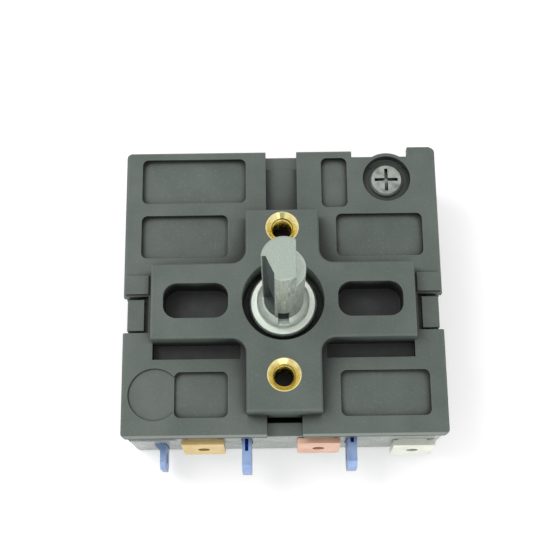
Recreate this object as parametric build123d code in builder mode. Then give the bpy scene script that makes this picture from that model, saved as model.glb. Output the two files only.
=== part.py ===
# Infinite switch for an electric cooking plate: a moulded case with a cross-shaped mounting
# boss, a push-to-turn shaft, a cam, a heated bimetal and three pairs of contacts.
# Millimetres. The origin is where the shaft's axis meets the front face of the boss,
# +Z runs along the shaft towards the knob, and the terminals are on the -Y side.
from build123d import *
import os
from math import cos, pi, radians, sin

os.makedirs("parts", exist_ok=True)

# Case
case_width = 48.0
case_up = 24.8
case_down = 19.65
case_depth = 20.0
face_drop = 3.5
plate = 3.0
lip = 1.5
parting = 0.6
inset = 0.25
wall = 2.0
floor = 2.0
case_corner = 0.8
edge_bevel = 0.3
seat_gap = 0.1

# Cross-shaped mounting boss
arm_margin = 4.5
arm_half = 5.7
stem_half = 5.5
stem_low = 16.5
stem_high = 14.0
boss_fillet = 2.1
boss_edge = 0.25

# Slots for the locating lugs of a bracket
slot_wall_in = 2.0
slot_wall_out = 1.8
slot_width = 5.3
slot_depth = 4.6
slot_corner = 2.0

# Threaded brass inserts, M4
insert_pitch = 22.4
insert_r = 2.5
thread_r = 1.65
insert_length = 6.3
insert_sunk = 0.1
insert_bevel = 0.7
insert_boss_wall = 1.4
insert_boss_drop = 1.1

# Pockets in the cover's face, in rows beside the boss
pocket_depth = 0.9
pocket_corner = 0.9
pocket_side = 2.5
pocket_inner = 8.3
row_height = 6.8
row_gap = 2.0
middle_row_gap = 1.9
low_row_gap = 4.3
top_left_inner = 5.5
mark_pocket_margin = 7.8
narrow_pocket = (6.2, 10.2)
trench_width = 2.4
trench_depth = 1.8
trench_start = 6.4
groove_half = 2.4
groove_depth = 1.7
notch_half = 2.6
ledge_margin = 3.8
ledge_y = (1.9, 4.8)
ledge_rise = 0.4
blank_mark_margin = 4.85
blank_mark_y = -13.3
blank_mark_r = 3.9
blank_mark_depth = 0.35
corner_lug_rise = 0.45

# Latches that hold the cover on the base
latch_y = (-3.6, 1.2)
latch_side_gap = 0.4
latch_skin = 1.4
latch_outer_inset = 0.6
latch_hook = 1.1
latch_top_drop = 0.4
latch_relief_depth = 8.0

# Shaft, die cast, with a flat and a cored side
shaft_r = 3.0
shaft_length = 21.0
across_flat = 4.6
flat_length = 5.0
tip_bevel = 0.25
core_low = 4.0
core_step = 8.0
core_angle = 25.0
core_floor = 2.0
core_floor_low = 1.7
core_rib = 1.25
core_edge = 0.3
hub_r = 3.9
hub_drop = 0.7
hub_slot_width = 1.6
hub_slot_depth = 1.9
hub_slot_top = 3.4
flange_r = 5.0
flange_drop = 2.2
flange_thick = 1.1
flange_bevel = 0.25
journal_r = 4.0
drive_r = 2.6
drive_flats = 4.0
push_travel = 2.0
running_gap = 0.05
clip_thick = 0.6
clip_r = 3.5
clip_groove = 0.6
clip_mouth = 2.6
clip_play = 0.05
shaft_tail = 0.9

# Hole round the shaft
hole_r = 6.1
hole_depth = 5.5
collar_r = 6.6
collar_depth = 8.5
collar_sides = 8

# Cam
cam_gap = 0.3
cam_low = 8.2
cam_rise = 0.8
cam_turn = 270.0
cam_lead = 20.0
track_arcs = 5
drum_r = 8.0
lobe_r = 9.2
lobe_half_width = 1.6
spring_room_r = 4.4
skirt_r = 5.0
skirt_bore = 4.2
skirt_gap = 0.1

# Return spring
spring_r = 3.45
spring_wire = 0.5
spring_turns = 3
spring_steps = 12
spring_play = 0.01

# Follower that carries the bimetal
pivot_margin = 9.0
pivot_y = 12.5
pin_r = 1.2
hub_wall = 1.15
hub_overlap = 1.2
nose_r = 1.0
nose_gap = 0.2
plate_gap = 0.2
pivot_rise = 0.8
pin_fit = 0.02
follower_arm = 1.8
follower_plate_gap = 0.4
flag_thick = 0.9
flag_reach = 6.0
strip_gap = 0.3

# Bimetal and its heater
bimetal_thick = 0.6
bimetal_lip = 1.4
heater_margins = (6.0, 1.0)
heater_wall = 0.5
heater_turns = 9
heater_wire = 0.3

# Snap switch
snap_thick = 0.3
snap_end_margin = 2.8
snap_contact_margin = 1.6
contact_to_lip = 2.2
contact_r = 1.5
contact_head = 0.8
contact_gap = 0.05
rivet_share = 0.334
rivet_fit = 0.02
peg_sides = 6
tail_r = 1.0
tail_thick = 0.5
tongue_from_end = 6.8
tongue_from_root = 7.1
tongue_bow = 1.1
tongue_gap = 0.3
bracket_corner_gap = 3.4
bracket_corner_y = 18.2
bracket_end = 8.0
bracket_slot = 0.7
bracket_lug_from = 2.6

# Line switch and pilot switch, opened by lobes on the cam when it is off
blade_thick = 0.3
line_blade_x = -10.6
pilot_blade_x = 10.6
blade_foot_reach = 3.2
switch_contact_y = 8.5
switch_contact_r = 1.3
pilot_contact_r = 0.95
switch_head = 0.7
switch_gap = 0.8
blade_nose_r = 0.6
blade_nose_gap = 0.15
blade_top_gap = 0.5
foot_rivet_offset = 0.3

# Terminals
metal = 0.8
tab_width = 6.3
tab_length = 7.0
tab_hole_r = 0.9
wide_tab_bevel = 0.4
edge_tab_bevel = 1.0
tab_lean = 5.0
tab_neck = 4.4
tinned_neck_shift = 0.3
tab_stand_off = 0.15
folded_metal = 1.4
fold_gap = 0.5
fold_gap_depth = 1.2
middle_fold_length = 1.8
right_fold_length = 0.7
shoulder_width = 1.3
shoulder_length = 1.5
inner_leg_y = -16.3
slot_clearance = 0.1
brass_tab_place = -0.508
copper_tab_place = 0.21
left_tab_place = -0.775
middle_tab_offset = 4.9
right_tab_offset = -0.6
high_root_z = -6.6
left_tab_reach = 3.85
middle_tab_reach = 4.85
right_tab_reach = 4.45
high_tab_top = -7.5
blade_plate_y = -14.6
floor_strip_width = 2.8
bus_margin = 3.6
bus_top = 12.0

# Calibration screw
screw_margins = (7.65, 4.7)
screw_r = 1.4
screw_head_r = 2.6
screw_head_thick = 0.8
screw_head_drop = 4.0
screw_tip_gap = 0.2
screw_recess = 0.5
recess_length = 3.6
ear_step = 0.4
ear_half = 1.8
well_r = 3.7
well_depth = 1.5
well_rim = 0.5
screw_boss_wall = 0.85
screw_boss_drop = 2.5
edge_step = 1.2
edge_step_reach = (5.35, 3.35)

# Shares of the room between the bearing collar and the floor that the heights inside take
follower_track_share = 0.2175
drum_share = 0.163
web_share = 0.174
middle_share = 0.37
bimetal_share = 0.435
snap_share = 0.39
line_blade_share = 0.282
pilot_blade_share = 0.195
tongue_share = 0.15

# Levels and outlines that follow from the sizes above
face_z = -face_drop
lip_z = face_z - lip
under_z = face_z - plate
rim_z = lip_z - parting
back_z = -case_depth
floor_z = back_z + floor
half_width = case_width / 2
case_height = case_up + case_down
case_mid = (case_up - case_down) / 2
base_half = half_width - inset
base_up = case_up - inset
base_down = case_down - inset
cavity_half = base_half - wall
cavity_up = base_up - wall
cavity_down = base_down - wall
cavity_mid = (cavity_up - cavity_down) / 2
arm_reach = half_width - arm_margin
slot_inner = hole_r + slot_wall_in
slot_outer = arm_reach - slot_wall_out
slot_length = slot_outer - slot_inner
slot_middle = (slot_inner + slot_outer) / 2
ledge_x = half_width - ledge_margin
blank_mark = (blank_mark_margin - half_width, blank_mark_y)
screw_at = (half_width - screw_margins[0], case_up - screw_margins[1])
edge_step_x = (screw_at[0] - edge_step_reach[0], screw_at[0] + edge_step_reach[1])
beyond = 2.0
tiny = 1e-3

# The cam stands on the base's floor and ends just below the cover's collar
collar_z = -collar_depth
cam_top = collar_z - cam_gap
room = cam_top - floor_z
follower_track = follower_track_share * room
pilot_track = drum_share * room
line_track = drum_share * room
cam_web = web_share * room
pilot_top = cam_top - follower_track
line_top = pilot_top - pilot_track
cam_bottom = line_top - line_track
web_top = cam_bottom + cam_web
skirt_z = floor_z + skirt_gap

# Drive section and clip of the shaft
journal_z = collar_z - seat_gap
clip_z = cam_bottom - seat_gap
shaft_end_z = clip_z - clip_thick - shaft_tail
hub_top = hub_r - shaft_r - hub_drop

# Follower, bimetal and heater
pivot = (half_width - pivot_margin, pivot_y)
hub_outer = pin_r + running_gap + hub_wall
nose_x = cam_low + nose_gap + nose_r
follower_top = cam_top - plate_gap
follower_plate = follower_track - follower_plate_gap
follower_low = follower_top - follower_plate
hub_height = follower_track + hub_overlap
pivot_top = follower_top + pivot_rise
pivot_low = pivot_top - hub_height
bimetal_mid_z = cam_top - middle_share * room
bimetal_height = bimetal_share * room
bimetal_low = bimetal_mid_z - bimetal_height / 2
bimetal_high = bimetal_mid_z + bimetal_height / 2
bimetal_y = pivot[1]
flag_y = bimetal_y - bimetal_thick / 2 - flag_thick / 2
flag_face_y = flag_y - flag_thick / 2
flag_left = pivot[0] - flag_reach
flag_right = pivot[0] - hub_outer - cam_gap
flag_rivet_x = (flag_left + flag_right) / 2
flag_rivet_levels = (bimetal_low + tail_r, bimetal_high - tail_r)
lip_tip_y = bimetal_y + bimetal_lip + bimetal_thick / 2
snap_y = lip_tip_y + strip_gap + snap_thick / 2
left_tab_x = left_tab_place * half_width
snap_left = left_tab_x + snap_end_margin
snap_contact_x = snap_left + snap_contact_margin
bimetal_left = snap_contact_x + contact_to_lip
heater_span = (bimetal_left + heater_margins[0], flag_left - heater_margins[1])

# Contacts of the snap switch
snap_face_y = snap_y - snap_thick / 2 - contact_head
fixed_face_y = snap_face_y - contact_gap
fixed_plate_y = fixed_face_y - contact_head - metal / 2

# Blades of the line switch and the pilot switch, level with their drums
line_mid_z = line_top - line_track / 2
pilot_mid_z = pilot_top - pilot_track / 2
line_blade_height = line_blade_share * room
pilot_blade_height = pilot_blade_share * room
rivet_r = rivet_share * pilot_blade_height
rivet_hole_r = rivet_r + rivet_fit
line_blade_z = (line_mid_z - line_blade_height / 2, line_mid_z + line_blade_height / 2)
pilot_blade_high = follower_low - blade_top_gap
pilot_blade_z = (pilot_blade_high - pilot_blade_height, pilot_blade_high)
blade_foot_y = blade_plate_y + metal / 2 + blade_thick / 2
blade_end_y = switch_contact_y + switch_contact_r + blade_nose_gap
plate_face = blade_thick / 2 + 2 * switch_head + switch_gap

# Snap blade, its bracket and the bus strip beside it
snap_half_height = snap_share * room / 2
snap_z = (bimetal_mid_z - snap_half_height, bimetal_mid_z + snap_half_height)
bracket_z = snap_z
bracket_corner = (pivot[0] - bracket_corner_gap, bracket_corner_y)
bracket_lug = (bracket_corner[0] - bracket_lug_from, bracket_corner[0] - bracket_lug_from + metal)
snap_root = bracket_lug[0] + metal / 2 + seat_gap
tongue_span = (snap_left + tongue_from_end, snap_root - tongue_from_root)
tongue_height = tongue_share * room
bus_x = half_width - bus_margin
bracket_leg_x = bus_x - metal
bus_z = (bracket_z[0] - ear_step, bracket_z[1])
ear_z = (bracket_z[0] + ear_step, bracket_z[0] + ear_step + metal)
bracket_rivets_y = (bracket_end + tail_r, bus_top - tail_r)

# Terminals, spread along the lower edge
brass_tab_x = brass_tab_place * half_width
copper_tab_x = copper_tab_place * half_width
tinned_tab_x = bus_x - metal
tinned_neck_x = tinned_tab_x - tinned_neck_shift
middle_tab_x = line_blade_x + middle_tab_offset
right_tab_x = pilot_blade_x + right_tab_offset
low_root_z = bus_z[1]
left_tab_top = floor_z + tab_width + slot_clearance


def block(x, y, z):
    """A plain block between two values on each axis."""
    with BuildPart() as piece:
        with BuildSketch(Plane.XY.offset(z[0])):
            with Locations(((x[0] + x[1]) / 2, (y[0] + y[1]) / 2)):
                Rectangle(x[1] - x[0], y[1] - y[0])
        extrude(amount=z[1] - z[0])
    return piece.part


def post(x, y, radius, low, high):
    """A round post along the shaft's direction."""
    with BuildPart() as piece:
        with BuildSketch(Plane.XY.offset(low)):
            with Locations((x, y)):
                Circle(radius)
        extrude(amount=high - low)
    return piece.part


def sided_upright(half_across, low, high):
    """An upright on the shaft's axis with a few flat sides, one towards each edge of the case."""
    with BuildPart() as piece:
        with BuildSketch(Plane.XY.offset(low)):
            RegularPolygon(half_across, collar_sides, major_radius=False, rotation=180 / collar_sides)
        extrude(amount=high - low)
    return piece.part


def peg(start, direction, radius, length):
    """A peg from a point, along any direction, with a few sides in place of its round."""
    with BuildPart() as piece:
        with BuildSketch(Plane(origin=start, z_dir=direction)):
            RegularPolygon(radius, peg_sides)
        extrude(amount=length)
    return piece.part


def strip(path, thick, low, high):
    """A metal strip that stands on edge and follows a path seen from the front."""
    with BuildPart() as piece:
        with BuildSketch(Plane.XY.offset(low)):
            with BuildLine():
                Polyline(path)
            trace(line_width=thick)
        extrude(amount=high - low)
    return piece.part


def contact_rivet(face, direction, head_r, head, plate_thick):
    """A contact rivet: a bevelled head, a shank through its plate and a closed tail."""
    start = Vector(*face)
    along = Vector(*direction)
    with BuildPart() as piece:
        add(peg(start, direction, head_r, head))
        chamfer(piece.faces().sort_by_distance(start)[0].edges(), head / 4)
        add(peg(start + along * head, direction, rivet_r, plate_thick))
        add(peg(start + along * (head + plate_thick), direction, tail_r, tail_thick))
    return piece.part


def wide_tab(x, root_z, neck_x):
    """A flat tab outside the wall, bent over through a window to a leg inside the case."""
    lean = radians(tab_lean)
    outer_y = -base_down - tab_stand_off
    outward = (0, -cos(lean), sin(lean))
    with BuildPart() as piece:
        with BuildSketch(Plane(origin=(x, outer_y, root_z), x_dir=(1, 0, 0), z_dir=outward)) as face:
            with Locations((0, -tab_length / 2)):
                Rectangle(tab_width, tab_length)
            chamfer(face.vertices().group_by(Axis.Y)[0], wide_tab_bevel)
            with Locations((0, -tab_length / 2)):
                Circle(tab_hole_r, mode=Mode.SUBTRACT)
        extrude(amount=metal)
        neck = (neck_x - tab_neck / 2, neck_x + tab_neck / 2)
        add(block(neck, (outer_y - metal / 2, inner_leg_y + metal / 2), (root_z - metal, root_z)))
    return piece.part


# Front cover: a plate with the cross-shaped boss, a bearing for the shaft and an adjusting well
with BuildPart() as front_cover:
    with BuildSketch(Plane.XY.offset(lip_z)):
        with Locations((0, case_mid)):
            RectangleRounded(case_width, case_height, case_corner)
    extrude(amount=lip)
    chamfer(front_cover.edges().group_by(Axis.Z)[-1], edge_bevel)
    with BuildSketch(Plane.XY.offset(under_z)):
        with Locations((0, cavity_mid)):
            Rectangle(2 * (cavity_half - seat_gap), cavity_up + cavity_down - 2 * seat_gap)
    extrude(amount=plate - lip)

    # Cross-shaped boss with rounded inner corners
    with BuildSketch(Plane.XY.offset(face_z)) as cross:
        Rectangle(2 * arm_reach, 2 * arm_half)
        with Locations((0, (stem_high - stem_low) / 2)):
            Rectangle(2 * stem_half, stem_high + stem_low)
        inner_corners = cross.vertices().filter_by(
            lambda v: abs(abs(v.X) - stem_half) < tiny and abs(abs(v.Y) - arm_half) < tiny
        )
        fillet(inner_corners, boss_fillet)
    extrude(amount=face_drop)
    chamfer(front_cover.edges().group_by(Axis.Z)[-1], boss_edge)

    # Raised ledges beside the ends of the arms
    for side in (-1, 1):
        ledge = sorted((side * ledge_x, side * (half_width - edge_bevel)))
        add(block(ledge, ledge_y, (face_z, face_z + ledge_rise)))

    # Eight-sided bearing collar, square pads for the inserts and the adjusting screw, under the plate
    add(sided_upright(collar_r, collar_z, under_z))
    pad = insert_r + insert_boss_wall
    for side in (-1, 1):
        middle = side * insert_pitch / 2
        add(block((-pad, pad), (middle - pad, middle + pad), (under_z - insert_boss_drop, under_z)))
    pad = screw_r + running_gap + screw_boss_wall
    pad_x = (screw_at[0] - pad, screw_at[0] + pad)
    pad_y = (screw_at[1] - pad, screw_at[1] + pad)
    add(block(pad_x, pad_y, (under_z - screw_boss_drop, under_z)))

    # The edge steps in round the adjusting well, whose rim stands in the step
    top_step = (case_up - edge_step, case_up + beyond)
    add(block(edge_step_x, top_step, (lip_z - tiny, face_z + tiny)), mode=Mode.SUBTRACT)
    add(post(screw_at[0], screw_at[1], well_r + well_rim, lip_z, face_z))
    add(
        post(screw_at[0], screw_at[1], well_r, face_z - well_depth, face_z + tiny),
        mode=Mode.SUBTRACT,
    )
    add(
        post(screw_at[0], screw_at[1], screw_r + running_gap, under_z - beyond * 2, face_z),
        mode=Mode.SUBTRACT,
    )

    # The corner beside the well stands a little proud
    lug_x = (edge_step_x[1], half_width - case_corner)
    lug_y = (case_up - case_corner, case_up + corner_lug_rise)
    add(block(lug_x, lug_y, (lip_z, face_z)))

    # Rows of shallow pockets
    middle_row = arm_half + middle_row_gap
    top_row = middle_row + row_height + row_gap
    low_row = -arm_half - low_row_gap
    left_edge = -half_width + pocket_side
    right_edge = half_width - pocket_side
    pockets = [
        ((left_edge, -top_left_inner), (top_row, case_up - edge_step)),
        ((left_edge, -pocket_inner), (middle_row, middle_row + row_height)),
        ((pocket_inner, right_edge), (middle_row, middle_row + row_height)),
        (narrow_pocket, (top_row - pocket_depth, case_up - edge_step)),
        ((mark_pocket_margin - half_width, -pocket_inner), (low_row - row_height, low_row)),
        ((pocket_inner, right_edge), (low_row - row_height, low_row)),
    ]
    for x, y in pockets:
        with BuildSketch(Plane.XY.offset(face_z)):
            with Locations(((x[0] + x[1]) / 2, (y[0] + y[1]) / 2)):
                RectangleRounded(x[1] - x[0], y[1] - y[0], pocket_corner)
        extrude(amount=-pocket_depth, mode=Mode.SUBTRACT)

    # Trenches under the arms, the groove above the stem and the notch below it
    trench_y = (-arm_half - trench_width, -arm_half)
    for side in (-1, 1):
        trench = sorted((side * trench_start, side * arm_reach))
        add(block(trench, trench_y, (face_z - trench_depth, face_z)), mode=Mode.SUBTRACT)
    groove_x = (-groove_half, groove_half)
    add(
        block(groove_x, (stem_high, case_up + beyond), (face_z - groove_depth, face_z + tiny)),
        mode=Mode.SUBTRACT,
    )
    notch_x = (-notch_half, notch_half)
    add(
        block(notch_x, (-case_down - beyond, -stem_low), (under_z - tiny, face_z + tiny)),
        mode=Mode.SUBTRACT,
    )

    # A plain sunk disc
    add(
        post(blank_mark[0], blank_mark[1], blank_mark_r, face_z - blank_mark_depth, face_z),
        mode=Mode.SUBTRACT,
    )

    # Side pockets that the latches grip
    relief_y = (latch_y[0] - latch_side_gap, latch_y[1] + latch_side_gap)
    for side in (-1, 1):
        pocket = sorted((side * ledge_x, side * (half_width + beyond)))
        add(block(pocket, relief_y, (lip_z, beyond)), mode=Mode.SUBTRACT)

    # Slots, insert bores, the round hole and the shaft's bearing
    with BuildSketch(Plane.XY):
        with Locations((-slot_middle, 0), (slot_middle, 0)):
            RectangleRounded(slot_length, slot_width, slot_corner)
    extrude(amount=-slot_depth, mode=Mode.SUBTRACT)
    with BuildSketch(Plane.XY):
        with Locations((0, -insert_pitch / 2), (0, insert_pitch / 2)):
            Circle(insert_r)
    extrude(amount=-(insert_sunk + insert_length), mode=Mode.SUBTRACT)
    with BuildSketch(Plane.XY):
        Circle(hole_r)
    extrude(amount=-hole_depth, mode=Mode.SUBTRACT)
    with BuildSketch(Plane.XY):
        Circle(journal_r + running_gap)
    extrude(amount=-collar_depth, mode=Mode.SUBTRACT)
front_cover.part.label = "front_cover"
export_step(front_cover.part, "parts/front_cover.step")


# Base: a tray with a bearing ring, a boss for the follower's pin, windows and two latches
wide_windows = [
    (brass_tab_x, high_root_z),
    (copper_tab_x, high_root_z),
    (tinned_neck_x, low_root_z),
]
edge_windows = [
    (left_tab_x, left_tab_top, metal),
    (middle_tab_x, high_tab_top, folded_metal),
    (right_tab_x, high_tab_top, folded_metal),
]
with BuildPart() as base:
    with BuildSketch(Plane.XY.offset(back_z)):
        with Locations((0, case_mid)):
            RectangleRounded(2 * base_half, base_up + base_down, case_corner)
    extrude(amount=rim_z - back_z)
    chamfer(base.edges().group_by(Axis.Z)[0], edge_bevel)
    with BuildSketch(Plane.XY.offset(floor_z)):
        with Locations((0, cavity_mid)):
            Rectangle(2 * cavity_half, cavity_up + cavity_down)
    extrude(amount=rim_z - floor_z, mode=Mode.SUBTRACT)

    # Bearing ring round the cam's skirt
    ring_top = cam_bottom - 2 * cam_gap
    add(sided_upright(skirt_r + running_gap + wall, floor_z, ring_top))
    add(post(0, 0, skirt_r + running_gap, floor_z, ring_top), mode=Mode.SUBTRACT)

    # Boss for the follower's pin
    add(post(pivot[0], pivot[1], hub_outer - seat_gap, floor_z, pivot_low - cam_gap))
    add(
        post(pivot[0], pivot[1], pin_r + pin_fit, floor_z - seat_gap, pivot_low),
        mode=Mode.SUBTRACT,
    )

    # Windows in the wall for the terminals
    window_y = (-base_down - beyond, -cavity_down + seat_gap)
    for x, root_z in wide_windows:
        half = tab_neck / 2 + slot_clearance
        height = (root_z - metal - slot_clearance, root_z + slot_clearance)
        add(block((x - half, x + half), window_y, height), mode=Mode.SUBTRACT)
    for x, top_z, thick in edge_windows:
        half = thick / 2 + slot_clearance
        height = (top_z - tab_width - slot_clearance, top_z + slot_clearance)
        add(block((x - half, x + half), window_y, height), mode=Mode.SUBTRACT)

    # Latches that rise from the side walls and hook over the cover
    for side in (-1, 1):
        outer = half_width - latch_outer_inset
        relief = sorted((side * outer, side * (base_half + beyond)))
        add(
            block(relief, relief_y, (rim_z - latch_relief_depth, rim_z + beyond)),
            mode=Mode.SUBTRACT,
        )
        tongue = sorted((side * (outer - latch_skin), side * outer))
        hook = sorted((side * (outer - latch_skin - latch_hook), side * outer))
        hook_top = face_z - latch_top_drop
        add(block(tongue, latch_y, (rim_z - beyond, hook_top)))
        add(block(hook, latch_y, (lip_z + seat_gap, hook_top)))
base.part.label = "base"
export_step(base.part, "parts/base.step")


# Pair of brass inserts with a bevelled mouth
with BuildPart() as threaded_inserts:
    with BuildSketch(Plane.XY.offset(-insert_sunk)):
        with Locations((0, -insert_pitch / 2), (0, insert_pitch / 2)):
            Circle(insert_r)
            Circle(thread_r, mode=Mode.SUBTRACT)
    extrude(amount=-insert_length)
    mouths = threaded_inserts.edges().filter_by(GeomType.CIRCLE).group_by(Axis.Z)[-1]
    chamfer(mouths.filter_by(lambda e: e.radius < insert_r - tiny), insert_bevel)
threaded_inserts.part.label = "threaded_inserts"
export_step(threaded_inserts.part, "parts/threaded_inserts.step")


# Shaft: turned outline, then the flat, the cored side, the slot in its hub and the drive flats
flange_low = -flange_drop - flange_thick
with BuildPart() as shaft:
    with BuildSketch(Plane.XZ):
        with BuildLine():
            Polyline(
                (0, shaft_length),
                (shaft_r - tip_bevel, shaft_length),
                (shaft_r, shaft_length - tip_bevel),
                (shaft_r, hub_top),
                (hub_r, -hub_drop),
                (hub_r, -flange_drop),
                (flange_r - flange_bevel, -flange_drop),
                (flange_r, -flange_drop - flange_bevel),
                (flange_r, flange_low),
                (journal_r, flange_low),
                (journal_r, journal_z),
                (drive_r, journal_z),
                (drive_r, shaft_end_z),
                (0, shaft_end_z),
                close=True,
            )
        make_face()
    revolve(axis=Axis.Z)

    # Flat for the knob, with its shoulder
    flat_x = across_flat - shaft_r
    flat_z = (shaft_length - flat_length, shaft_length + beyond)
    add(block((flat_x, flat_x + beyond), (-beyond * 2, beyond * 2), flat_z), mode=Mode.SUBTRACT)

    # Cored quarter with a slanting floor, deeper in its lower half
    lean_x = cos(radians(core_angle))
    lean_y = sin(radians(core_angle))
    far = 2 * shaft_r
    recesses = [
        (core_floor, (core_step, shaft_length + beyond)),
        (core_floor_low, (hub_top, core_step)),
    ]
    for depth, z in recesses:
        rib_y = -(depth - core_rib * lean_x) / lean_y
        edge_x = -(depth + core_edge * lean_y) / lean_x
        with BuildSketch(Plane.XY.offset(z[0])):
            with BuildLine():
                Polyline(
                    (-core_rib, -far),
                    (-core_rib, rib_y),
                    (edge_x, core_edge),
                    (-far, core_edge),
                    (-far, -far),
                    close=True,
                )
            make_face()
        extrude(amount=z[1] - z[0], mode=Mode.SUBTRACT)

    # Its lower end is cut away down to the hub, under a slanting edge
    with BuildSketch(Plane.XZ.offset(-core_edge)):
        with BuildLine():
            Polyline(
                (-core_rib, hub_top),
                (-core_rib, core_low),
                (-shaft_r, core_step),
                (-far, core_step),
                (-far, hub_top),
                close=True,
            )
        make_face()
    extrude(amount=far, mode=Mode.SUBTRACT)

    # Slot in the front of the hub
    slot_x = (-hub_slot_width / 2, hub_slot_width / 2)
    slot_y = (-hub_r - beyond, -hub_r + hub_slot_depth)
    add(block(slot_x, slot_y, (-hub_drop, hub_slot_top)), mode=Mode.SUBTRACT)

    # Flats that drive the cam, and the clip's groove
    for side in (-1, 1):
        cut = sorted((side * drive_flats / 2, side * (drive_flats / 2 + beyond)))
        add(block(cut, (-drive_r - beyond, drive_r + beyond), (shaft_end_z, journal_z)), mode=Mode.SUBTRACT)
    with BuildSketch(Plane.XY.offset(clip_z)):
        Circle(journal_r)
        Circle(drive_r - clip_groove, mode=Mode.SUBTRACT)
    extrude(amount=-clip_thick, mode=Mode.SUBTRACT)
shaft.part.label = "shaft"
export_step(shaft.part, "parts/shaft.step")


# Retaining clip in the shaft's groove
with BuildPart() as shaft_clip:
    with BuildSketch(Plane.XY.offset(clip_z - clip_thick + clip_play)):
        Circle(clip_r)
        Circle(drive_r - clip_groove + running_gap, mode=Mode.SUBTRACT)
        with Locations((0, -clip_r)):
            Rectangle(clip_mouth, 2 * clip_r, mode=Mode.SUBTRACT)
    extrude(amount=clip_thick - 2 * clip_play)
shaft_clip.part.label = "shaft_clip"
export_step(shaft_clip.part, "parts/shaft_clip.step")


# Cam: a rising track for the follower, two drums with a lobe each, and a skirt
def spiral_point(angle):
    """A point of the rising track, whose radius grows evenly with the angle."""
    radius = cam_low + cam_rise * angle / cam_turn
    return (radius * cos(radians(angle)), radius * sin(radians(angle)))


def lobed_drum(low, high, angle):
    """A drum with one round-topped lobe."""
    with BuildPart() as piece:
        with BuildSketch(Plane.XY.offset(low)):
            Circle(drum_r)
            with Locations(Rotation(0, 0, angle)):
                with Locations((lobe_r - lobe_half_width, 0)):
                    Circle(lobe_half_width)
                with Locations(((lobe_r - lobe_half_width) / 2, 0)):
                    Rectangle(lobe_r - lobe_half_width, 2 * lobe_half_width)
        extrude(amount=high - low)
    return piece.part


with BuildPart() as cam_wheel:
    arc_turn = (cam_turn + 2 * cam_lead) / track_arcs
    with BuildSketch(Plane.XY.offset(pilot_top)):
        with BuildLine():
            for arc in range(track_arcs):
                angle = arc * arc_turn - cam_lead
                ThreePointArc(
                    spiral_point(angle),
                    spiral_point(angle + arc_turn / 2),
                    spiral_point(angle + arc_turn),
                )
            Line(spiral_point(cam_turn + cam_lead), spiral_point(-cam_lead))
        make_face()
    extrude(amount=follower_track)
    add(lobed_drum(line_top, pilot_top, 0))
    add(lobed_drum(cam_bottom, line_top, 180))
    add(post(0, 0, skirt_r, skirt_z, cam_bottom))

    # Room for the spring above the web, and for the clip below it
    add(post(0, 0, spring_room_r, web_top, cam_top + beyond), mode=Mode.SUBTRACT)
    add(post(0, 0, skirt_bore, skirt_z - tiny, cam_bottom), mode=Mode.SUBTRACT)

    # Bore with two flats
    with BuildSketch(Plane.XY.offset(cam_bottom)):
        Circle(drive_r + running_gap)
        Rectangle(drive_flats + 2 * running_gap, 3 * drive_r, mode=Mode.INTERSECT)
    extrude(amount=cam_web, mode=Mode.SUBTRACT)
cam_wheel.part.label = "cam_wheel"
export_step(cam_wheel.part, "parts/cam_wheel.step")


# Return spring between the cam's web and the shaft's journal
def coil_point(step):
    """A point of the coil after so many steps round it."""
    angle = 2 * pi * step / spring_steps
    height = web_top + spring_wire / 2 + spring_rise * step / (spring_steps * spring_turns)
    return (spring_r * cos(angle), spring_r * sin(angle), height)


spring_rise = journal_z - web_top - spring_wire
with BuildPart() as return_spring:
    with BuildLine() as coil:
        Polyline([coil_point(step) for step in range(spring_steps * spring_turns + 1)])
    with BuildSketch(Plane(origin=coil.line @ 0, z_dir=coil.line % 0)):
        RegularPolygon(spring_wire / 2 - spring_play, 6)
    sweep(transition=Transition.RIGHT)
return_spring.part.label = "return_spring"
export_step(return_spring.part, "parts/return_spring.step")


# Follower: a lever with a round nose on the cam and a flag for the bimetal
with BuildPart() as cam_follower:
    with BuildSketch(Plane.XY.offset(follower_low)):
        with BuildLine():
            Polyline((nose_x, 0), pivot)
        trace(line_width=follower_arm)
        with Locations((nose_x, 0)):
            Circle(nose_r)
        with Locations(pivot):
            Circle(hub_outer)
    extrude(amount=follower_plate)
    add(post(pivot[0], pivot[1], hub_outer, pivot_low, pivot_top))
    flag_faces = (flag_y - flag_thick / 2, flag_y + flag_thick / 2)
    add(block((flag_left, pivot[0]), flag_faces, (pivot_low, pivot_top)))
    add(block((flag_left, flag_right), flag_faces, (bimetal_low, pivot_top)))
    add(
        post(pivot[0], pivot[1], pin_r + running_gap, pivot_low - beyond, pivot_top + beyond),
        mode=Mode.SUBTRACT,
    )
    for level in flag_rivet_levels:
        add(
            peg((flag_rivet_x, flag_face_y - beyond, level), (0, 1, 0), rivet_hole_r, 2 * beyond),
            mode=Mode.SUBTRACT,
        )
cam_follower.part.label = "cam_follower"
export_step(cam_follower.part, "parts/cam_follower.step")


# Pin of the follower, from its boss to just under the cover
with BuildPart() as follower_pin:
    add(post(pivot[0], pivot[1], pin_r, floor_z, under_z - seat_gap))
follower_pin.part.label = "follower_pin"
export_step(follower_pin.part, "parts/follower_pin.step")


# Bimetal strip with its bent tip
with BuildPart() as bimetal_strip:
    tip_x = bimetal_left + bimetal_thick / 2
    path = [(flag_right, bimetal_y), (tip_x, bimetal_y), (tip_x, lip_tip_y)]
    add(strip(path, bimetal_thick, bimetal_low, bimetal_high))
    for level in flag_rivet_levels:
        hole_at = (flag_rivet_x, flag_face_y, level)
        add(peg(hole_at, (0, 1, 0), rivet_hole_r, 2 * beyond), mode=Mode.SUBTRACT)
bimetal_strip.part.label = "bimetal_strip"
export_step(bimetal_strip.part, "parts/bimetal_strip.step")


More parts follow.
